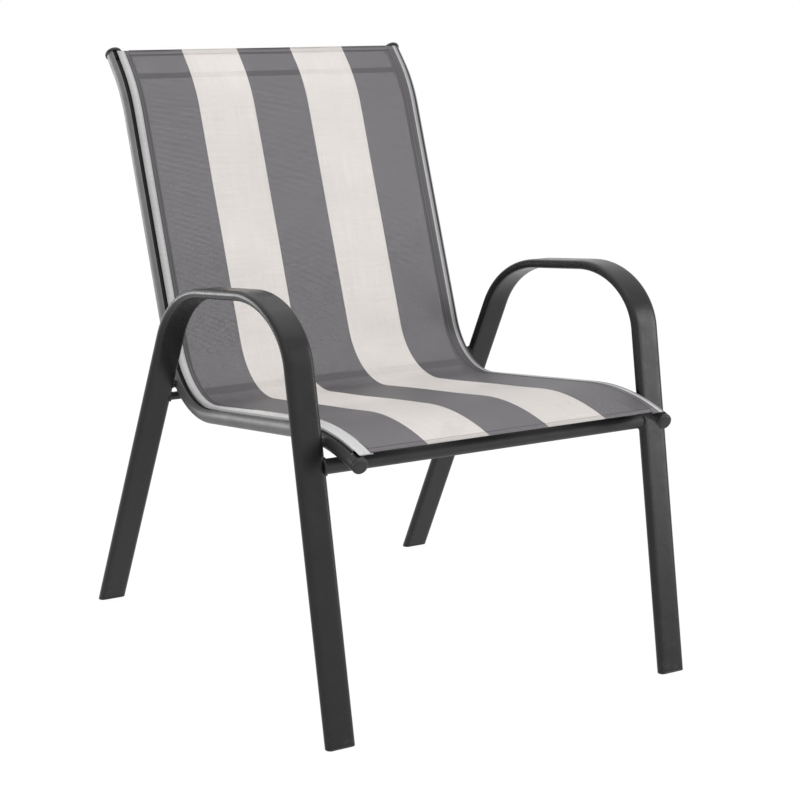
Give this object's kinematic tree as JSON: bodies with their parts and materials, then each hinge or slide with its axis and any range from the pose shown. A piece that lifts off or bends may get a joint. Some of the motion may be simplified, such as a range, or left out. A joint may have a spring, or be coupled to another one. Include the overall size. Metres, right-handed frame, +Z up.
{
  "type": "patio chair",
  "caption": "Stacking sling armchair: flat oval side hoops form legs and arms, and slotted bent rails hold a striped mesh seat and back.",
  "frame": {"origin": "on the floor, under the middle of the chair's bounding box", "axes": "+Z up, -Y the way the sitter faces, +X to the right as seen from in front"},
  "size_m": [0.593, 0.7306, 0.831],
  "materials": {
    "frame": "satin powder coat",
    "rail": "satin powder coat",
    "plastic": "moulded",
    "sling": "woven coated mesh",
    "rod": "extruded"
  },
  "bodies": {
    "root": {"left_side_hoop": "frame", "right_side_hoop": "frame", "left_sling_rail": "rail", "right_sling_rail": "rail", "front_crossbar": "frame", "rear_crossbar": "frame", "top_crossbar": "frame", "front_left_rail_spacer": "frame", "front_right_rail_spacer": "frame", "rear_left_rail_spacer": "frame", "rear_right_rail_spacer": "frame", "top_left_rail_cap": "plastic", "top_right_rail_cap": "plastic", "front_left_rail_cap": "plastic", "front_right_rail_cap": "plastic", "front_left_foot_plug": "plastic", "front_right_foot_plug": "plastic", "rear_left_foot_plug": "plastic", "rear_right_foot_plug": "plastic", "left_sling_spline": "rod", "right_sling_spline": "rod", "sling": "sling"}
  },
  "joints": []
}
